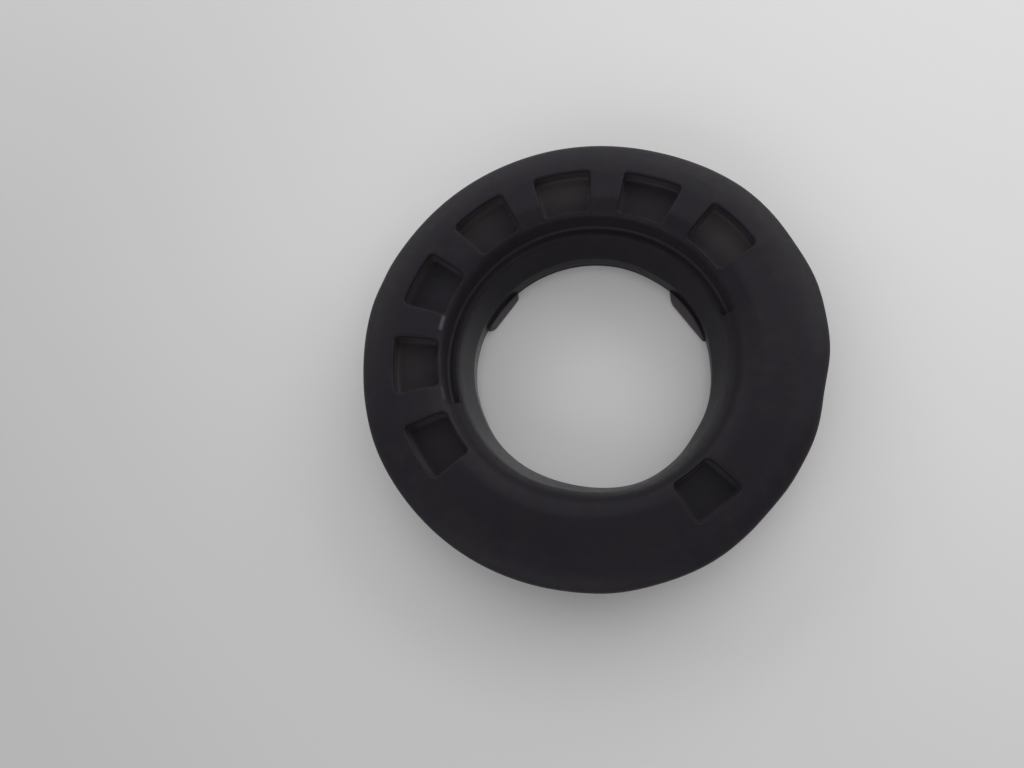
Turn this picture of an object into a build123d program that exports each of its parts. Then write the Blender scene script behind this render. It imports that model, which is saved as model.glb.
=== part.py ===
from build123d import *
import os

# Coil spring rubber mount: one moulded ring, its body side up, standing on its collar at z = 0.
# The lugs on the bore's lower lip lie either side of the +Y axis.

# Bore that takes the body's boss, and the funnel above it
bore_radius = 40.4
bore_length = 4.2
lip_height = 2.4
lip_relief = 0.6
lip_step = 0.4
funnel_flare = 4.8
funnel_height = 9.5

# Shoulder, crown and flank, from the funnel outwards
crown_height = 27.0
shoulder_width = 9.3
crown_width = 7.0
flank_drop = 6.0
skirt_taper = 1.6
skirt_round = 2.5

# Collar that stands below the seat face
seat_face_height = 6.0
collar_wall = 5.0
collar_taper = 1.6
collar_foot_bevel = 0.5

# Helical groove for the spring's end coil
wire_radius = 7.0
wire_clearance = 0.5
groove_offset = 2.4
groove_outer_wall = 10.6
groove_low_depth = 2.0
groove_rise = 6.5
groove_span = 335.0
groove_start_angle = 32.0
groove_mouth_bevel = 0.8

# Relief groove between the funnel's ledge and the pockets
ledge_rise = 0.5
ledge_width = 1.0
ledge_bevel = 0.4
relief_width = 2.1
relief_depth = 2.5
relief_start_angle = 20.0
relief_end_angle = 200.0
relief_end_round = 1.2

# Pockets in the crown
pocket_lip = 1.5
pocket_length = 14.2
pocket_depth = 5.0
pocket_width = 18.4
pocket_pitch = 28.3
pocket_count = 7
first_pocket_angle = 43.5
lone_pocket_width = 16.5
lone_pocket_angle = 309.0
pocket_corner_round = 1.6
pocket_floor_bevel = 0.8

# Two retaining lugs on the bore's lower lip
lug_reach = 2.4
lug_face_width = 14.8
lug_root_width = 22.0
lug_angle_from_y = 55.5
lug_edge_bevel = 0.4

# Worked out from the sizes above, from the bore outwards
funnel_top_radius = bore_radius + funnel_flare
relief_wall_radius = funnel_top_radius + ledge_width + relief_width
pocket_inner_radius = relief_wall_radius + pocket_lip
crown_inner_radius = funnel_top_radius + shoulder_width
crown_outer_radius = crown_inner_radius + crown_width
lip_radius = bore_radius + lip_relief
collar_foot_radius = lip_radius + collar_wall
collar_root_radius = collar_foot_radius + collar_taper
groove_radius = wire_radius + wire_clearance
spring_mean_radius = collar_root_radius + groove_offset + groove_radius
outer_radius = spring_mean_radius + groove_radius + groove_outer_wall
skirt_radius = outer_radius - skirt_taper

# And from the foot upwards
bore_bottom = lip_height + lip_step
bore_top = bore_bottom + bore_length
funnel_top = bore_top + funnel_height
ledge_height = funnel_top + ledge_rise
flank_bottom = crown_height - flank_drop
pocket_floor = crown_height - pocket_depth

# How far a cutting tool or a lug's root runs past the surface it meets
overrun = 2.5

# How far an edge may lie from the place where it is looked for
near = 0.01


def ring_body():
    straight = Polyline(
        (funnel_top_radius, funnel_top),
        (bore_radius, bore_top),
        (bore_radius, bore_bottom),
        (lip_radius, lip_height),
        (lip_radius, 0),
        (collar_foot_radius, 0),
        (collar_root_radius, seat_face_height),
        (skirt_radius, seat_face_height),
        (outer_radius, flank_bottom),
    )
    flank = EllipticalCenterArc(
        (crown_outer_radius, flank_bottom),
        outer_radius - crown_outer_radius,
        flank_drop,
        start_angle=0,
        arc_size=90,
    )
    crown = Line((crown_outer_radius, crown_height), (crown_inner_radius, crown_height))
    shoulder = EllipticalCenterArc(
        (crown_inner_radius, funnel_top),
        shoulder_width,
        crown_height - funnel_top,
        start_angle=90,
        arc_size=90,
    )
    section = make_face(straight.edges() + flank.edges() + crown.edges() + shoulder.edges())
    return revolve(Plane.XZ * section, Axis.Z)


def circles(shape, radius, height):
    level = shape.edges().filter_by_position(Axis.Z, height - near, height + near)
    return level.filter_by(GeomType.CIRCLE).filter_by(lambda edge: abs(edge.radius - radius) < near)


def turned_section(points, start_angle, span):
    section = make_face(Polyline(*points, close=True))
    return revolve(Plane.XZ * section, Axis.Z, revolution_arc=span).rotate(Axis.Z, start_angle)


def seat_groove():
    path = Helix(
        pitch=groove_rise * 360 / groove_span,
        height=groove_rise,
        radius=spring_mean_radius,
        center=(0, 0, seat_face_height + groove_low_depth - groove_radius),
    )
    mouth = Rectangle(2 * groove_radius, 2 * groove_radius, align=(Align.CENTER, Align.MAX))
    start = Plane(origin=path @ 0, x_dir=(1, 0, 0), z_dir=-(path % 0))
    groove = sweep(start * (Circle(groove_radius) + mouth), path=path, is_frenet=True)
    return groove.rotate(Axis.Z, groove_start_angle)


def relief():
    inner = funnel_top_radius + ledge_width
    top = crown_height + overrun
    outline = [
        (inner, ledge_height - relief_depth),
        (relief_wall_radius, ledge_height - relief_depth),
        (relief_wall_radius, top),
        (bore_radius, top),
        (bore_radius, ledge_height),
        (inner, ledge_height),
    ]
    hollow = turned_section(outline, relief_start_angle, relief_end_angle - relief_start_angle)
    ends = hollow.edges().filter_by(Axis.Z).sort_by(Edge.length)[-2:]
    return fillet(ends, relief_end_round)


def pocket(angle, width):
    outer = pocket_inner_radius + pocket_length
    top = crown_height + overrun
    outline = [
        (pocket_inner_radius, pocket_floor),
        (outer, pocket_floor),
        (outer, top),
        (pocket_inner_radius, top),
    ]
    hollow = turned_section(outline, angle - width / 2, width)
    hollow = fillet(hollow.edges().filter_by(Axis.Z), pocket_corner_round)
    return chamfer(hollow.faces().sort_by(Axis.Z)[0].edges(), pocket_floor_bevel)


def lug(angle):
    face_distance = bore_radius - lug_reach
    outline = Polyline(
        (face_distance, -lug_face_width / 2),
        (face_distance, lug_face_width / 2),
        (bore_radius, lug_root_width / 2),
        (bore_radius + overrun, 0),
        (bore_radius, -lug_root_width / 2),
        close=True,
    )
    block = extrude(make_face(outline), lip_height)
    top = block.edges().group_by(Axis.Z)[-1]
    return chamfer(top.filter_by_position(Axis.X, 0, bore_radius), lug_edge_bevel).rotate(Axis.Z, angle)


ring = ring_body()
ring = fillet(circles(ring, skirt_radius, seat_face_height), skirt_round)
ring = chamfer(circles(ring, collar_foot_radius, 0) + circles(ring, lip_radius, 0), collar_foot_bevel)

groove = seat_groove()
grooved = ring - groove
mouth_edges = new_edges(ring, groove, combined=grooved).filter_by(GeomType.LINE, reverse=True)
mouth_edges = mouth_edges.filter_by_position(Axis.Z, seat_face_height - near, seat_face_height + near)
ring = chamfer(mouth_edges, groove_mouth_bevel)

ring -= relief()
ring = chamfer(circles(ring, funnel_top_radius + ledge_width, ledge_height), ledge_bevel)

for i in range(pocket_count):
    ring -= pocket(first_pocket_angle + pocket_pitch * i, pocket_width)
ring -= pocket(lone_pocket_angle, lone_pocket_width)

ring += lug(90 - lug_angle_from_y)
ring += lug(90 + lug_angle_from_y)

os.makedirs("parts", exist_ok=True)
export_step(ring, "parts/rubber_mount.step")
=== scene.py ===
from math import atan2, cos, degrees, hypot, pi, radians, sin, sqrt

import bmesh
import bpy
from mathutils import Matrix, Vector


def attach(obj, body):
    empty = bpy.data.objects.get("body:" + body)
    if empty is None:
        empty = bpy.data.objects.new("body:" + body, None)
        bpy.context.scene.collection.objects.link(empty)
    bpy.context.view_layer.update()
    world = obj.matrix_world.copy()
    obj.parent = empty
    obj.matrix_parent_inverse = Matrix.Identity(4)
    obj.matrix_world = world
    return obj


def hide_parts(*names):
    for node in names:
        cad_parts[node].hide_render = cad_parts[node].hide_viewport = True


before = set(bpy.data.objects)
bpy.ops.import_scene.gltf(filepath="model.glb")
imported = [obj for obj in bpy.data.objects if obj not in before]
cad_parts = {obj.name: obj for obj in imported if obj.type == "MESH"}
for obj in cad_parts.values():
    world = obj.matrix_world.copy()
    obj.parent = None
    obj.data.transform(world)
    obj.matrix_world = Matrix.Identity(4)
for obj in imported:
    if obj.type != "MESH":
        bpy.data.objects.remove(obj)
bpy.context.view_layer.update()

bpy.ops.object.select_all(action="DESELECT")

MM = 0.001

# Sizes of the ring in millimetres and degrees: the part's, with the soft forms as the photo has them
BORE_RADIUS = 40.4
BORE_BOTTOM = 2.8
BORE_TOP = 7.0
LIP_RADIUS = 40.6
LIP_HEIGHT = 2.4
FUNNEL_TOP_RADIUS = 44.4
FUNNEL_TOP = 16.5
CROWN_HEIGHT = 27.0
CROWN_INNER_RADIUS = 54.5
CROWN_OUTER_RADIUS = 61.5
CROWN_MIDDLE = 58.0
SHOULDER_POINT = 53.2
SHOULDER_POWER = 1.75
FUNNEL_POINT = (42.4, 11.75)
OUTER_RADIUS = 75.95
FLANK_BOTTOM = 21.0
SKIRT_RADIUS = 74.2
SEAT_FACE = 6.0
SEAT_POINT = 61.0
COLLAR_FOOT_RADIUS = 46.0
COLLAR_ROOT_RADIUS = 47.6
SPRING_RADIUS = 57.5
GROOVE_RADIUS = 7.5
GROOVE_START = 32.0
GROOVE_SPAN = 335.0
GROOVE_RISE = 6.5
GROOVE_START_HEIGHT = 0.5
LEDGE_HEIGHT = 17.0
LEDGE_OUTER_RADIUS = 46.2
RELIEF_RADIUS = 48.3
RELIEF_FLOOR_INNER = 46.9
RELIEF_FLOOR_OUTER = 47.4
RELIEF_DEPTH = 0.3
RELIEF_START = 20.0
RELIEF_END = 200.0
RELIEF_END_TURN = 1.6
RELIEF_END_WIDTH = 0.7
RELIEF_END_LEAN = 1.5
POCKET_INNER_RADIUS = 49.8
POCKET_OUTER_RADIUS = 64.0
POCKET_FLOOR = 22.0
POCKET_WIDTH = 17.8
POCKET_PITCH = 28.3
FIRST_POCKET = 43.6
POCKETS = 7
LONE_POCKET = 310.2
LONE_POCKET_WIDTH = 15.8

# Angles of the section's points on the flank's quarter ellipse
FLANK_ANGLES = (16, 32, 47, 62)
# How far outside the funnel's top the ledge's inner edge lies
LEDGE_STEP = 0.02

# Sizes of the soft roundings
POCKET_CORNER_ROUND = 1.6
POCKET_FLOOR_ROUND = 1.3
POCKET_RIM_ROUND = 0.8
RELIEF_TOP_ROUND = 0.6
RELIEF_END_ROUND = 1.0
LEDGE_ROUND = 0.45
LUG_END_ROUND = 1.2
LUG_TOP_ROUND = 0.4

# The edges that are rounded right round the ring: radius, height, size and segments
ROUNDED_EDGES = (
    (SKIRT_RADIUS, SEAT_FACE, 2.2, 3),
    (OUTER_RADIUS, FLANK_BOTTOM, 0.9, 2),
    (COLLAR_ROOT_RADIUS, SEAT_FACE, 0.8, 2),
    (COLLAR_FOOT_RADIUS, 0, 0.5, 2),
    (LIP_RADIUS, 0, 0.2, 2),
    (BORE_RADIUS, BORE_TOP, 0.6, 2),
    (BORE_RADIUS, BORE_BOTTOM, 0.15, 1),
    (LIP_RADIUS, LIP_HEIGHT, 0.15, 1),
)

# Each lug: its azimuth, its face's distance, and how far the face and the root reach either side
LUGS = (
    (38.0, 37.2, (-14.0, 4.0), (-15.0, 10.2)),
    (145.5, 38.0, (-7.4, 7.4), (-9.6, 9.2)),
)
LUG_OVERLAP = 0.3
LUG_ROOT_LENGTH = 1.6
LUG_ROOT_SHARE = 0.9

# How far the soft ring's outer part lies off centre, along +Y
OUTER_SHIFT = 0.5
OUTER_SHIFT_FROM = 72.0
OUTER_SHIFT_REACH = 12.0

# The soft ring's slow waves: azimuth, push outwards in millimetres, and how far the push reaches
OUTER_WAVES = (
    (351, -1.9, 18), (342, -0.3, 10), (334, -1.5, 20), (317, -1.5, 16), (307, -0.5, 10), (50, 1.3, 38),
    (20, 0.8, 16), (165, 0.6, 26), (161, -0.5, 4), (205, 0.4, 26), (279, 0.4, 14),
)
# The same for the bore, which is worn wider at the near side
BORE_WAVES = (
    (296, 1.9, 26), (318, 0.5, 12), (336, 0.4, 10), (5, -0.4, 14), (58, -0.4, 16), (168, 0.3, 16),
    (204, -0.4, 14), (268, 0.5, 18),
)
FUNNEL_WAVES = ((262, -0.8, 24),)

# Degrees that one column of faces takes before the ring is subdivided, and steps of the groove's screw
SPIN_STEP = 4.9
GROOVE_STEPS = 134

# How near counts as the same place, in millimetres and in degrees
NEAR = 0.02
NEAR_TURN = 0.1
# How far a straight side dips inside its circle, with something to spare
CHORD_DIP = 0.1
# Points closer than this are merged, in millimetres
MERGE_BELOW = 0.01
# Edges that turn less than this are shaded smooth, in degrees
SMOOTH_BELOW = 40

# Base colours of the rubber, of the painted shade, painted light and dust on it, and of the table's painted
# shade and light
DARK_RUBBER = (0.0094, 0.0078, 0.0115)
LIGHT_RUBBER = (0.0112, 0.0092, 0.0125)
BLUE_MOTTLE = (0.0118, 0.0106, 0.0150)
RED_BLOOM = (0.0165, 0.0118, 0.0135)
BROWN_TINT = (0.0155, 0.0125, 0.0125)
# Painted shade: the near side's shoulder and crown are coloured darker
NEAR_SIDE_PAINTED_SHADE = (0.0055, 0.0044, 0.0070)
# Painted light in the slot below the pockets and in its crease
SLOT_PAINTED_LIGHT = (0.0400, 0.0370, 0.0400)
# Painted light on the pocket walls
WALL_PAINTED_LIGHT = (0.0410, 0.0365, 0.0375)
# Painted light on the lugs, which lie in the ring's shade
LUG_PAINTED_LIGHT = (0.0520, 0.0470, 0.0500)
# Dust and painted light on the pocket floors
DUST_AND_LIGHT = (0.0310, 0.0265, 0.0275)
GLINT = (0.060, 0.057, 0.060)
# The table's painted shade and painted light
TABLE_PAINTED_SHADE = (0.47, 0.466, 0.461)
TABLE_PAINTED_LIGHT = (0.74, 0.735, 0.73)

# Pockets whose floors get dust and painted light: azimuth, radius of the patch's middle, and how much of it
DUST_AND_LIGHT_POCKETS = ((44, 60, 1.0), (100, 59, 1.0), (128, 59, 0.6), (184, 60, 0.5))
DUST_AND_LIGHT_SPREAD = (40.0, 34.0)
# Small glints: azimuth, radius, length, width and strength
GLINTS = ((169, 49.8, 6.0, 1.6, 1.0), (197, 49.0, 5.5, 1.4, 0.25), (213, 64.0, 17.0, 1.2, 0.15))

# Each soft light: name, azimuth, elevation, distance and size in metres, and power in watts
LIGHTS = (
    ("ceiling_panel", 55, 60, 1.2, (1.5, 1.5), 4.5),
    ("window", 50, 24, 1.0, (1.4, 0.62), 6.1),
    ("side_window", 130, 24, 1.5, (2.0, 0.8), 10.5),
    ("room_side", 252, 28, 1.5, (2.4, 1.0), 11.0),
)
ROOM_COLOUR = (0.8, 0.8, 0.82, 1)
ROOM_STRENGTH = 0.44
TABLE_SIZE = 3.0

# The camera's place in metres, the directions of its picture's right, down and depth, and its lens
CAMERA_PLACE = (0.016697, -0.087372, 0.29615)
CAMERA_RIGHT = Vector((0.98945, 0.05528, -0.13395))
CAMERA_DOWN = Vector((0.01679, -0.96189, -0.27291))
CAMERA_AHEAD = Vector((-0.14394, 0.26778, -0.95267))
CAMERA_LENS = 31.11


def radius(point):
    return hypot(point.x, point.y) / MM


def height(point):
    return point.z / MM


def azimuth(point):
    return degrees(atan2(point.y, point.x)) % 360


def within(value, low, high):
    return low - NEAR < value < high + NEAR


def between(point, start, end):
    return start - NEAR_TURN < azimuth(point) < end + NEAR_TURN


def at_either(point, start, end):
    return min(abs(azimuth(point) - start), abs(azimuth(point) - end)) < NEAR_TURN


def select(kind, test):
    """Selects in edit mode the verts, edges or faces that pass a test."""
    bpy.ops.mesh.select_mode(type={"verts": "VERT", "edges": "EDGE", "faces": "FACE"}[kind])
    bpy.ops.mesh.select_all(action="DESELECT")
    mesh = bmesh.from_edit_mesh(bpy.context.edit_object.data)
    picked = [part for part in getattr(mesh, kind) if test(part)]
    for part in picked:
        part.select_set(True)
    mesh.select_flush_mode()
    bmesh.update_edit_mesh(bpy.context.edit_object.data, loop_triangles=False)


def all_points(test):
    """A test for an edge or a face that holds for every one of its points."""
    return lambda part: all(test(vert.co) for vert in part.verts)


def merge_points():
    """Makes one point of those that lie in the same place."""
    bpy.ops.mesh.select_all(action="SELECT")
    bpy.ops.mesh.remove_doubles(threshold=MERGE_BELOW * MM)


def quarter_arc(centre_radius, centre_height, width, rise, angles):
    return [
        (centre_radius + width * cos(radians(a)), centre_height + rise * sin(radians(a))) for a in angles
    ]


def draw_section(points):
    """Draws the ring's closed section over the X axis, from point to point."""
    bpy.ops.mesh.primitive_circle_add(vertices=3, radius=MM)
    bpy.ops.object.mode_set(mode="EDIT")
    bpy.ops.mesh.select_all(action="SELECT")
    bpy.ops.mesh.merge(type="CENTER")
    first = points[0]
    bpy.ops.transform.translate(value=(first[0] * MM, 0, first[1] * MM))
    last = first
    for point in points[1:]:
        step = ((point[0] - last[0]) * MM, 0, (point[1] - last[1]) * MM)
        bpy.ops.mesh.extrude_region_move(TRANSFORM_OT_translate={"value": step})
        last = point
    ends = [Vector((p[0] * MM, 0, p[1] * MM)) for p in (first, last)]
    select("verts", lambda v: min((v.co - end).length for end in ends) < NEAR * MM)
    bpy.ops.mesh.edge_face_add()


def pocket_spans():
    spans = []
    for i in range(POCKETS):
        middle = FIRST_POCKET + POCKET_PITCH * i
        spans.append((middle - POCKET_WIDTH / 2, middle + POCKET_WIDTH / 2))
    spans.append((LONE_POCKET - LONE_POCKET_WIDTH / 2, LONE_POCKET + LONE_POCKET_WIDTH / 2))
    return spans


def spin_section(stops, step):
    """Spins the section round the axis, with a column of points at every stop."""
    bpy.ops.mesh.select_all(action="SELECT")
    for start, end in zip(stops, stops[1:]):
        steps = max(1, round((end - start) / step))
        bpy.ops.mesh.spin(steps=steps, angle=radians(end - start), center=(0, 0, 0), axis=(0, 0, -1))
    merge_points()
    bpy.ops.mesh.normals_make_consistent(inside=False)


def bevel(size, segments):
    """Rounds the selected edges."""
    bpy.ops.mesh.bevel(offset=size * MM, offset_type="OFFSET", segments=segments, affect="EDGES")


def round_ring(ring_radius, ring_height, size, segments):
    """Rounds the edge that runs right round the ring at a radius and a height."""
    def on_ring(p):
        return abs(radius(p) - ring_radius) < NEAR and abs(height(p) - ring_height) < NEAR

    select("edges", all_points(on_ring))
    bevel(size, segments)


def push(place, outwards, reach):
    """Moves the point nearest to a place outwards, and the points round it less and less."""
    turn, far, level = place
    away = Vector((cos(radians(turn)), sin(radians(turn)), 0))
    target = (away * far + Vector((0, 0, level))) * MM
    mesh = bmesh.from_edit_mesh(bpy.context.edit_object.data)
    gap = min((v.co - target).length for v in mesh.verts)
    select("verts", lambda v: (v.co - target).length < gap + 0.001 * MM)
    bpy.ops.transform.translate(
        value=away * outwards * MM,
        use_proportional_edit=True,
        proportional_edit_falloff="SMOOTH",
        proportional_size=reach * MM,
    )


def sink_faces(test, level):
    """Extrudes the faces that pass and lays them flat at a height."""
    select("faces", test)
    bpy.ops.mesh.extrude_region_move(TRANSFORM_OT_translate={"value": (0, 0, 0)})
    bpy.ops.transform.resize(value=(1, 1, 0), center_override=(0, 0, level * MM))


def cut_pocket(start, end):
    """Sinks one pocket into the crown, rounds its corners, floor and rim."""
    def over_pocket(p):
        return (between(p, start, end)
                and within(radius(p), POCKET_INNER_RADIUS - CHORD_DIP, POCKET_OUTER_RADIUS)
                and height(p) > POCKET_FLOOR - NEAR)

    def on_corner(p):
        wall = min(abs(radius(p) - POCKET_INNER_RADIUS), abs(radius(p) - POCKET_OUTER_RADIUS)) < NEAR
        return wall and at_either(p, start, end)

    def is_corner(edge):
        one, other = (height(v.co) for v in edge.verts)
        upright = abs(one - other) > 1
        return upright and over_pocket(edge.verts[0].co) and all(on_corner(v.co) for v in edge.verts)

    sink_faces(all_points(over_pocket), POCKET_FLOOR)
    select("edges", is_corner)
    bevel(POCKET_CORNER_ROUND, 3)
    select("faces", all_points(lambda p: over_pocket(p) and height(p) < POCKET_FLOOR + NEAR))
    bpy.ops.mesh.region_to_loop()
    bevel(POCKET_FLOOR_ROUND, 3)

    def is_inside(face):
        wall = abs(face.normal.z) < 0.3
        return all(over_pocket(v.co) for v in face.verts) and (
            wall or height(face.calc_center_median()) < POCKET_FLOOR + POCKET_FLOOR_ROUND)

    select("faces", is_inside)
    bpy.ops.mesh.region_to_loop()
    bevel(POCKET_RIM_ROUND, 3)


def cut_relief():
    """Cuts the ledge and the narrow groove between the funnel and the pockets."""
    above_walls = 20

    def over_ledge(p):
        return (between(p, RELIEF_START, RELIEF_END) and within(radius(p), FUNNEL_TOP_RADIUS, RELIEF_RADIUS)
                and within(height(p), LEDGE_HEIGHT, CROWN_HEIGHT))

    def over_groove(p):
        return over_ledge(p) and radius(p) > LEDGE_OUTER_RADIUS - NEAR and height(p) < LEDGE_HEIGHT + NEAR

    def over_groove_floor(p):
        floor = LEDGE_HEIGHT - RELIEF_DEPTH
        return between(p, RELIEF_START, RELIEF_END) and within(height(p), floor, floor)

    def is_wall_top(edge):
        one, other = edge.verts
        level = abs(one.co.z - other.co.z) < NEAR * MM
        return level and all(over_ledge(v.co) and height(v.co) > above_walls
                             and abs(radius(v.co) - RELIEF_RADIUS) < NEAR for v in edge.verts)

    sink_faces(all_points(over_ledge), LEDGE_HEIGHT)
    merge_points()
    select("edges", is_wall_top)
    bevel(RELIEF_TOP_ROUND, 3)
    select("faces", all_points(over_groove))
    bpy.ops.mesh.extrude_region_move(TRANSFORM_OT_translate={"value": (0, 0, -RELIEF_DEPTH * MM)})
    for wall, foot in ((RELIEF_RADIUS, RELIEF_FLOOR_OUTER), (LEDGE_OUTER_RADIUS, RELIEF_FLOOR_INNER)):
        select("verts", lambda v: over_groove_floor(v.co) and abs(radius(v.co) - wall) < NEAR)
        bpy.ops.transform.resize(value=(foot / wall, foot / wall, 1), center_override=(0, 0, 0))

    def is_ledge_edge(edge):
        return all(over_ledge(v.co) and abs(radius(v.co) - LEDGE_OUTER_RADIUS) < NEAR
                   and abs(height(v.co) - LEDGE_HEIGHT) < NEAR for v in edge.verts)

    select("edges", is_ledge_edge)
    bevel(LEDGE_ROUND, 2)

    def is_end_corner(edge):
        one, other = edge.verts
        at_end = all(at_either(v.co, RELIEF_START, RELIEF_END)
                     and abs(radius(v.co) - RELIEF_RADIUS) < NEAR for v in edge.verts)
        return at_end and abs(one.co.z - other.co.z) > MM

    select("edges", is_end_corner)
    bevel(RELIEF_END_ROUND, 2)

    def over_end(p, end):
        return (abs(azimuth(p) - end) < RELIEF_END_TURN and height(p) > above_walls
                and within(radius(p), FUNNEL_TOP_RADIUS, RELIEF_RADIUS + RELIEF_END_WIDTH))

    # With no window, rotate turns the other way, so both ends lean away from the groove
    for end, lean in ((RELIEF_START, RELIEF_END_LEAN), (RELIEF_END, -RELIEF_END_LEAN)):
        select("verts", lambda v: over_end(v.co, end))
        bpy.ops.transform.rotate(value=radians(lean), orient_axis="Z", center_override=(0, 0, 0))


def apply_modifier(piece, kind, **settings):
    """Adds a modifier to a piece and makes its result the piece's own mesh."""
    bpy.ops.object.select_all(action="DESELECT")
    piece.select_set(True)
    bpy.context.view_layer.objects.active = piece
    modifier = piece.modifiers.new(kind.title(), kind)
    for name, value in settings.items():
        setattr(modifier, name, value)
    bpy.ops.object.modifier_apply(modifier=modifier.name)


def remove(piece):
    bpy.ops.object.select_all(action="DESELECT")
    piece.select_set(True)
    bpy.ops.object.delete()


def make_groove_cutter():
    """The space of the spring's end coil, a screw-shaped channel that is open below."""
    bpy.ops.mesh.primitive_circle_add(
        vertices=48,
        radius=GROOVE_RADIUS * MM,
        location=(SPRING_RADIUS * MM, 0, GROOVE_START_HEIGHT * MM),
        rotation=(pi / 2, 0, 0),
    )
    bpy.ops.object.transform_apply(location=True, rotation=True)
    cutter = bpy.context.object
    bpy.ops.object.mode_set(mode="EDIT")
    select("verts", lambda v: v.co.z < (GROOVE_START_HEIGHT - NEAR) * MM)
    bpy.ops.mesh.delete(type="VERT")
    select("verts", lambda v: v.co.z < (GROOVE_START_HEIGHT + NEAR) * MM)
    bpy.ops.mesh.extrude_vertices_move(TRANSFORM_OT_translate={"value": (0, 0, -2 * GROOVE_RADIUS * MM)})
    bpy.ops.mesh.edge_face_add()
    bpy.ops.object.mode_set(mode="OBJECT")
    cutter.rotation_euler.z = radians(GROOVE_START)
    bpy.ops.object.transform_apply(rotation=True)
    apply_modifier(cutter, "SCREW", angle=radians(GROOVE_SPAN), screw_offset=GROOVE_RISE * MM,
                   steps=GROOVE_STEPS, render_steps=GROOVE_STEPS, axis="Z")
    bpy.ops.object.mode_set(mode="EDIT")
    for side in (GROOVE_START, GROOVE_START + GROOVE_SPAN - 360):
        select("edges", lambda e: e.is_boundary and all(abs(azimuth(v.co) - side) < 0.5 for v in e.verts))
        bpy.ops.mesh.edge_face_add()
    bpy.ops.mesh.select_all(action="SELECT")
    bpy.ops.mesh.normals_make_consistent(inside=False)
    bpy.ops.object.mode_set(mode="OBJECT")
    return cutter


def make_lug(angle, distance, face, root):
    """One retaining lug, a low block whose ends ramp back into the lip."""
    depth = BORE_RADIUS + LUG_OVERLAP - distance
    bpy.ops.mesh.primitive_cube_add(
        size=1,
        location=((distance + depth / 2) * MM, (root[0] + root[1]) / 2 * MM, LIP_HEIGHT / 2 * MM),
        scale=(depth * MM, (root[1] - root[0]) * MM, LIP_HEIGHT * MM),
    )
    lug = bpy.context.object
    bpy.ops.object.transform_apply(location=True, scale=True)
    bpy.ops.object.mode_set(mode="EDIT")
    for side, low, high in ((-1, root[0], face[0]), (1, root[1], face[1])):
        select("verts", lambda v: v.co.x < (distance + NEAR) * MM and v.co.y * side > 0)
        bpy.ops.transform.translate(value=(0, (high - low) * MM, 0))
    select("faces", lambda f: f.normal.x > 0.9)
    bpy.ops.mesh.extrude_region_move(TRANSFORM_OT_translate={"value": (LUG_ROOT_LENGTH * MM, 0, 0)})
    bpy.ops.transform.resize(value=(1, LUG_ROOT_SHARE, 1), center_override=(0, 0, 0))
    select("edges", lambda e: all(v.co.x < (distance + NEAR) * MM for v in e.verts)
           and abs(e.verts[0].co.y - e.verts[1].co.y) < NEAR * MM)
    bevel(LUG_END_ROUND, 4)
    select("edges", lambda e: all(v.co.z > (LIP_HEIGHT - NEAR) * MM for v in e.verts))
    bevel(LUG_TOP_ROUND, 3)
    bpy.ops.object.mode_set(mode="OBJECT")
    lug.rotation_euler.z = radians(angle)
    bpy.ops.object.transform_apply(rotation=True)
    return lug


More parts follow.
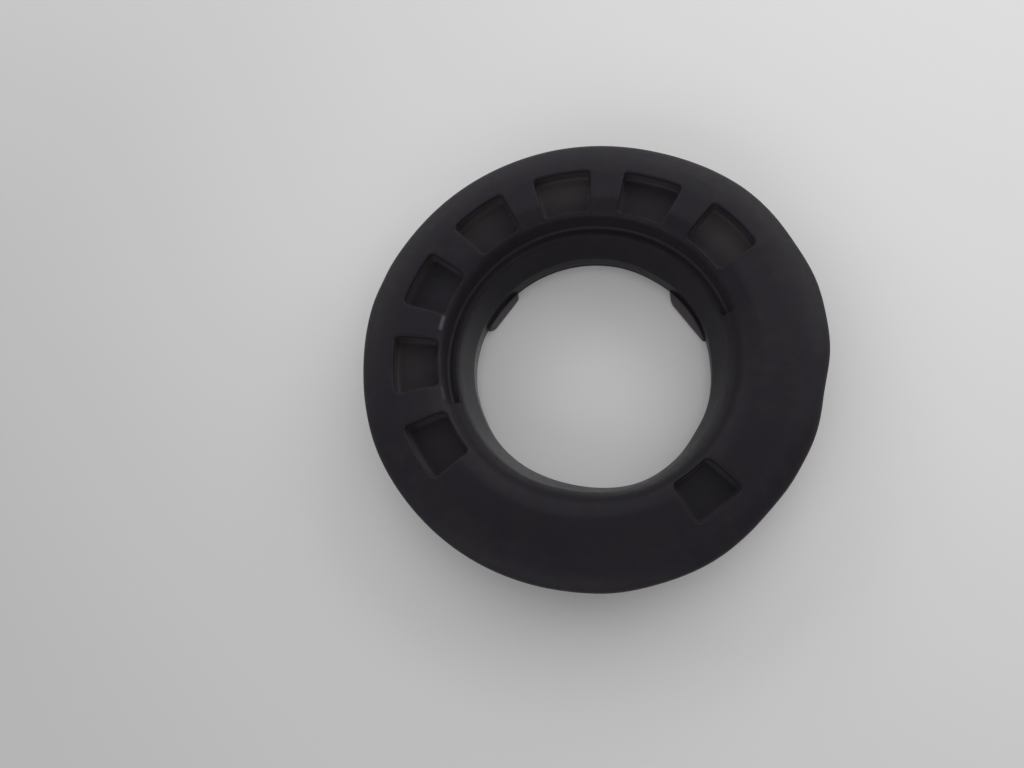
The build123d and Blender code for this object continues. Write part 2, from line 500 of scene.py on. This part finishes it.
def make_ring():
    """The moulded rubber ring: its section spun round, then pockets, relief, groove and lugs."""
    flank = quarter_arc(CROWN_OUTER_RADIUS, FLANK_BOTTOM, OUTER_RADIUS - CROWN_OUTER_RADIUS,
                        CROWN_HEIGHT - FLANK_BOTTOM, FLANK_ANGLES)
    shoulder_width = CROWN_INNER_RADIUS - FUNNEL_TOP_RADIUS
    shoulder_rise = CROWN_HEIGHT - FUNNEL_TOP

    def shoulder_height(at_radius):
        part = (CROWN_INNER_RADIUS - at_radius) / shoulder_width
        return FUNNEL_TOP + shoulder_rise * (1 - part ** SHOULDER_POWER) ** (1 / SHOULDER_POWER)

    def flank_height(at_radius):
        part = (at_radius - CROWN_OUTER_RADIUS) / (OUTER_RADIUS - CROWN_OUTER_RADIUS)
        return FLANK_BOTTOM + (CROWN_HEIGHT - FLANK_BOTTOM) * sqrt(1 - part * part)

    section = [
        (LIP_RADIUS, 0),
        (COLLAR_FOOT_RADIUS, 0),
        (COLLAR_ROOT_RADIUS, SEAT_FACE),
        (SEAT_POINT, SEAT_FACE),
        (SKIRT_RADIUS, SEAT_FACE),
        (OUTER_RADIUS, FLANK_BOTTOM),
        *flank,
        (POCKET_OUTER_RADIUS, flank_height(POCKET_OUTER_RADIUS)),
        (CROWN_OUTER_RADIUS, CROWN_HEIGHT),
        (CROWN_MIDDLE, CROWN_HEIGHT),
        (CROWN_INNER_RADIUS, CROWN_HEIGHT),
        *((at_radius, shoulder_height(at_radius)) for at_radius in (
            SHOULDER_POINT, POCKET_INNER_RADIUS, RELIEF_RADIUS, LEDGE_OUTER_RADIUS)),
        (FUNNEL_TOP_RADIUS + LEDGE_STEP, LEDGE_HEIGHT),
        (FUNNEL_TOP_RADIUS, FUNNEL_TOP),
        FUNNEL_POINT,
        (BORE_RADIUS, BORE_TOP),
        (BORE_RADIUS, BORE_BOTTOM),
        (LIP_RADIUS, LIP_HEIGHT),
    ]
    draw_section(section)
    ring = bpy.context.edit_object
    stops = {0, RELIEF_START, RELIEF_END, 360}
    for span in pocket_spans():
        stops.update(span)
    spin_section(sorted(stops), SPIN_STEP)
    cut_relief()
    for start, end in pocket_spans():
        cut_pocket(start, end)
    for edge in ROUNDED_EDGES:
        round_ring(*edge)
    select("verts", lambda v: radius(v.co) > OUTER_SHIFT_FROM)
    bpy.ops.transform.translate(value=(0, OUTER_SHIFT * MM, 0), use_proportional_edit=True,
                                proportional_edit_falloff="SMOOTH",
                                proportional_size=OUTER_SHIFT_REACH * MM)
    for waves, far, level in (
        (OUTER_WAVES, OUTER_RADIUS, FLANK_BOTTOM),
        (BORE_WAVES, BORE_RADIUS, BORE_BOTTOM),
        (FUNNEL_WAVES, FUNNEL_TOP_RADIUS, FUNNEL_TOP),
    ):
        for turn, outwards, reach in waves:
            push((turn, far, level), outwards, reach)
    bpy.ops.mesh.select_all(action="SELECT")
    bpy.ops.mesh.normals_make_consistent(inside=False)
    bpy.ops.object.mode_set(mode="OBJECT")
    apply_modifier(ring, "SUBSURF", levels=2, render_levels=2)
    groove = make_groove_cutter()
    apply_modifier(ring, "BOOLEAN", operation="DIFFERENCE", object=groove, solver="EXACT")
    remove(groove)
    for lug_sizes in LUGS:
        lug = make_lug(*lug_sizes)
        apply_modifier(ring, "BOOLEAN", operation="UNION", object=lug, solver="EXACT")
        remove(lug)
    bpy.ops.object.select_all(action="DESELECT")
    ring.select_set(True)
    bpy.context.view_layer.objects.active = ring
    bpy.ops.object.shade_smooth_by_angle(angle=radians(SMOOTH_BELOW))
    ring.name = "rubber_ring"
    return ring


class Wire:
    """A socket of a material's nodes that can be used in Python expressions."""

    def __init__(self, material, socket):
        self.material = material
        self.socket = socket

    def _maths(self, operation, *values):
        return self.material.node("ShaderNodeMath", {"operation": operation}, *values)

    def __add__(self, other):
        return self._maths("ADD", self, other)

    def __radd__(self, other):
        return self._maths("ADD", other, self)

    def __sub__(self, other):
        return self._maths("SUBTRACT", self, other)

    def __rsub__(self, other):
        return self._maths("SUBTRACT", other, self)

    def __mul__(self, other):
        return self._maths("MULTIPLY", self, other)

    def __rmul__(self, other):
        return self._maths("MULTIPLY", other, self)

    def __truediv__(self, other):
        return self._maths("DIVIDE", self, other)

    def size(self):
        return self._maths("ABSOLUTE", self)

    def ramp(self, low, high):
        """0 below low, 1 above high and smooth between them."""
        smooth = {"interpolation_type": "SMOOTHSTEP"}
        return self.material.node("ShaderNodeMapRange", smooth, self, low, high, 0.0, 1.0)

    def past(self, low, high):
        """The same between two lengths in millimetres."""
        return self.ramp(low * MM, high * MM)


class Finish:
    """One material, with the one method that adds its nodes."""

    def __init__(self, name):
        self.material = bpy.data.materials.new(name)
        self.material.use_nodes = True
        self.tree = self.material.node_tree
        self.shader = self.tree.nodes["Principled BSDF"]
        coordinates = self.tree.nodes.new("ShaderNodeTexCoord")
        self.place = Wire(self, coordinates.outputs["Object"])

    def node(self, kind, settings, *values, output=0, **named):
        node = self.tree.nodes.new(kind)
        for name, value in settings.items():
            setattr(node, name, value)
        sockets = dict(enumerate(values))
        sockets.update(named)
        for key, value in sockets.items():
            socket = node.inputs[key]
            if isinstance(value, Wire):
                self.tree.links.new(value.socket, socket)
            else:
                socket.default_value = value
        return Wire(self, node.outputs[output])

    def from_axis(self):
        """Distance from the ring's axis."""
        flat = self.node("ShaderNodeVectorMath", {"operation": "MULTIPLY"}, self.place, (1.0, 1.0, 0.0))
        return self.node("ShaderNodeVectorMath", {"operation": "LENGTH"}, flat, output="Value")

    def towards(self, turn):
        """How far a place lies along the direction of an azimuth."""
        away = (cos(radians(turn)), sin(radians(turn)), 0.0)
        return self.node("ShaderNodeVectorMath", {"operation": "DOT_PRODUCT"}, self.place, away, output="Value")

    def streak(self, turn, far, length, width):
        """1 on a short streak that runs round the ring, 0 elsewhere."""
        along = self.towards(turn + 90)
        across = self.towards(turn) + along * along / (2 * far * MM) - far * MM
        return (1.0 - along.size().past(0.3 * length, 0.5 * length)) * (
            1.0 - across.size().past(0.15 * width, 0.5 * width))

    def noise(self, scale, detail=2.0, roughness=0.5):
        return self.node("ShaderNodeTexNoise", {}, Vector=self.place, Scale=scale, Detail=detail,
                         Roughness=roughness)

    def blend(self, amount, low, high):
        """Goes from one colour to the other."""
        node = self.tree.nodes.new("ShaderNodeMix")
        node.data_type = "RGBA"
        for socket, value in ((node.inputs[0], amount), (node.inputs[6], low), (node.inputs[7], high)):
            if isinstance(value, Wire):
                self.tree.links.new(value.socket, socket)
            else:
                socket.default_value = value if isinstance(value, float) else (*value, 1.0)
        return Wire(self, node.outputs[2])

    def feed(self, **channels):
        """Sets the shader's inputs, whose names have underscores for spaces here."""
        for name, value in channels.items():
            socket = self.shader.inputs[name.replace("_", " ")]
            if isinstance(value, Wire):
                self.tree.links.new(value.socket, socket)
            else:
                socket.default_value = value

    def bump(self, relief, strength, distance):
        return self.node("ShaderNodeBump", {}, Strength=strength, Distance=distance, Height=relief)


def rubber_colour(rubber, from_axis, tint):
    """Mottled black, with painted shade on the near side, painted light in the slot, on the lugs and pocket
    walls, dust and painted light in four pockets, and small painted glints.
    """
    clouds = rubber.noise(scale=38.0, detail=3.0, roughness=0.55)
    mottle = rubber.noise(scale=330.0, detail=2.0, roughness=0.6)
    bloom = rubber.noise(scale=160.0, detail=4.0, roughness=0.65)
    level = rubber.node("ShaderNodeSeparateXYZ", {}, rubber.place, output="Z")
    # Painted shade: the near side, out to the crown's edge, is coloured darker
    near_side = 1.0 - rubber.towards(100).past(-50.0, -10.0)
    near_side_shade = near_side * (1.0 - from_axis.past(61.0, 67.0))
    over_crown = from_axis.past(45.5, 46.5) * (1.0 - from_axis.past(64.6, 65.2))
    sunk = over_crown * (1.0 - level.past(24.0, 26.8))
    # Painted light: the slot, and the crease on its right side, are coloured lighter against the shade in them
    slot_light = over_crown * (1.0 - level.past(19.0, 23.0))
    rightwards = rubber.towards(40).past(-25.0, 25.0)
    crease_light = over_crown * (1.0 - level.past(16.7, 17.1)) * rightwards
    # Painted light: the lugs in the ring's shade are coloured much lighter
    lug_light = 1.0 - from_axis.past(39.5, 39.9)
    # Painted light: the pocket walls below the rims are coloured lighter against their shade
    below_rim = level - 1.7 * MM * from_axis.past(49.5, 54.0)
    wall_light = from_axis.past(49.3, 49.8) * over_crown * level.past(22.2, 22.8)
    wall_light = wall_light * (1.0 - below_rim.past(23.6, 24.4))
    # Dust and painted light: four pocket floors are coloured lighter and browner
    dusty_and_lit = sum(share * rubber.streak(turn, far, *DUST_AND_LIGHT_SPREAD) for turn, far, share in DUST_AND_LIGHT_POCKETS)
    dust_and_light = sunk * dusty_and_lit * from_axis.past(51.5, 61.5) * (0.7 + 0.6 * tint)
    glints = sum(share * rubber.streak(*streak) for *streak, share in GLINTS)
    colour = rubber.blend(clouds.ramp(0.35, 0.65), DARK_RUBBER, LIGHT_RUBBER)
    for amount, over in (
        (mottle.ramp(0.4, 0.7) * 0.5, BLUE_MOTTLE),
        (bloom.ramp(0.5, 0.68) * 0.6, RED_BLOOM),
        (tint.ramp(0.52, 0.75) * 0.5, BROWN_TINT),
        (near_side_shade * 0.55, NEAR_SIDE_PAINTED_SHADE),
        (slot_light * 0.2, SLOT_PAINTED_LIGHT),
        (crease_light * 0.18, SLOT_PAINTED_LIGHT),
        (lug_light, LUG_PAINTED_LIGHT),
        (wall_light * 0.75, WALL_PAINTED_LIGHT),
        (dust_and_light, DUST_AND_LIGHT),
        (glints, GLINT),
    ):
        colour = rubber.blend(amount, colour, over)
    return colour


def make_rubber():
    """Moulded black rubber, satin outside and glossier in the bore and on the funnel's left side."""
    rubber = Finish("moulded_black_rubber")
    tint = rubber.noise(scale=90.0, detail=3.0, roughness=0.6)
    grain = rubber.noise(scale=2600.0, detail=2.0, roughness=0.6)
    lumps = rubber.noise(scale=420.0, detail=3.0, roughness=0.6)
    from_axis = rubber.from_axis()
    outwards = from_axis.past(43.2, 44.8)
    leftwards = 1.0 - rubber.towards(0).past(-32.0, -4.0)
    farwards = rubber.towards(90).past(0.0, 30.0)
    rubber.feed(
        Base_Color=rubber_colour(rubber, from_axis, tint),
        Roughness=0.29 + 0.16 * outwards + 0.07 * lumps.ramp(0.3, 0.7) + 0.05 * tint,
        Metallic=0.0,
        Coat_Weight=(1.0 - outwards) * (0.02 + 0.68 * leftwards * (1.0 - 0.9 * farwards)),
        Coat_Roughness=0.25,
        Specular_IOR_Level=0.125,
        Normal=rubber.bump(grain * 0.5 + lumps, strength=0.3, distance=0.06 * MM),
    )
    return rubber.material


def make_table_top():
    """A pale top with painted light: lighter round the ring and towards the window."""
    top = Finish("pale_table")
    cloud = top.noise(scale=6.0, detail=2.0)
    # Painted light: a pool of light round the ring and a rise in light towards the window
    middle = 1.0 - top.from_axis().past(20.0, 260.0)
    window_painted_light = top.towards(42).past(-240.0, 240.0)
    lightness = 0.3 * middle + 0.5 * window_painted_light + 0.05 * cloud
    top.feed(
        Base_Color=top.blend(lightness, TABLE_PAINTED_SHADE, TABLE_PAINTED_LIGHT),
        Roughness=0.5,
        Specular_IOR_Level=0.3,
    )
    return top.material


def add_light(name, turn, elevation, distance, size, power):
    """A soft area light that faces the origin."""
    bpy.ops.object.light_add(type="AREA")
    light = bpy.context.object
    light.name = name
    light.data.shape = "RECTANGLE"
    light.data.size, light.data.size_y = size
    light.data.energy = power
    a, e = radians(turn), radians(elevation)
    away = Vector((cos(e) * cos(a), cos(e) * sin(a), sin(e)))
    light.location = away * distance
    light.rotation_euler = away.to_track_quat("Z", "Y").to_euler()


def set_stage():
    """The table, the lights and the room's own soft light."""
    bpy.ops.mesh.primitive_plane_add(size=TABLE_SIZE)
    table = bpy.context.object
    table.name = "table"
    table.data.materials.append(make_table_top())
    for light in LIGHTS:
        add_light(*light)
    world = bpy.data.worlds.new("room")
    bpy.context.scene.world = world
    world.use_nodes = True
    room = world.node_tree.nodes["Background"]
    room.inputs["Color"].default_value = ROOM_COLOUR
    room.inputs["Strength"].default_value = ROOM_STRENGTH


def set_camera():
    """A hand-held camera above the near side, turned a little."""
    bpy.ops.object.camera_add()
    camera = bpy.context.object
    camera.data.sensor_width = 36
    camera.data.lens = CAMERA_LENS
    turned = Matrix((CAMERA_RIGHT, -CAMERA_DOWN, -CAMERA_AHEAD)).transposed().to_4x4()
    camera.matrix_world = Matrix.Translation(CAMERA_PLACE) @ turned
    bpy.context.scene.camera = camera


ring = make_ring()
ring.data.materials.clear()
ring.data.materials.append(make_rubber())
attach(ring, "root")
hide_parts("rubber_mount")
set_stage()
set_camera()
bpy.context.scene.view_settings.view_transform = "Standard"
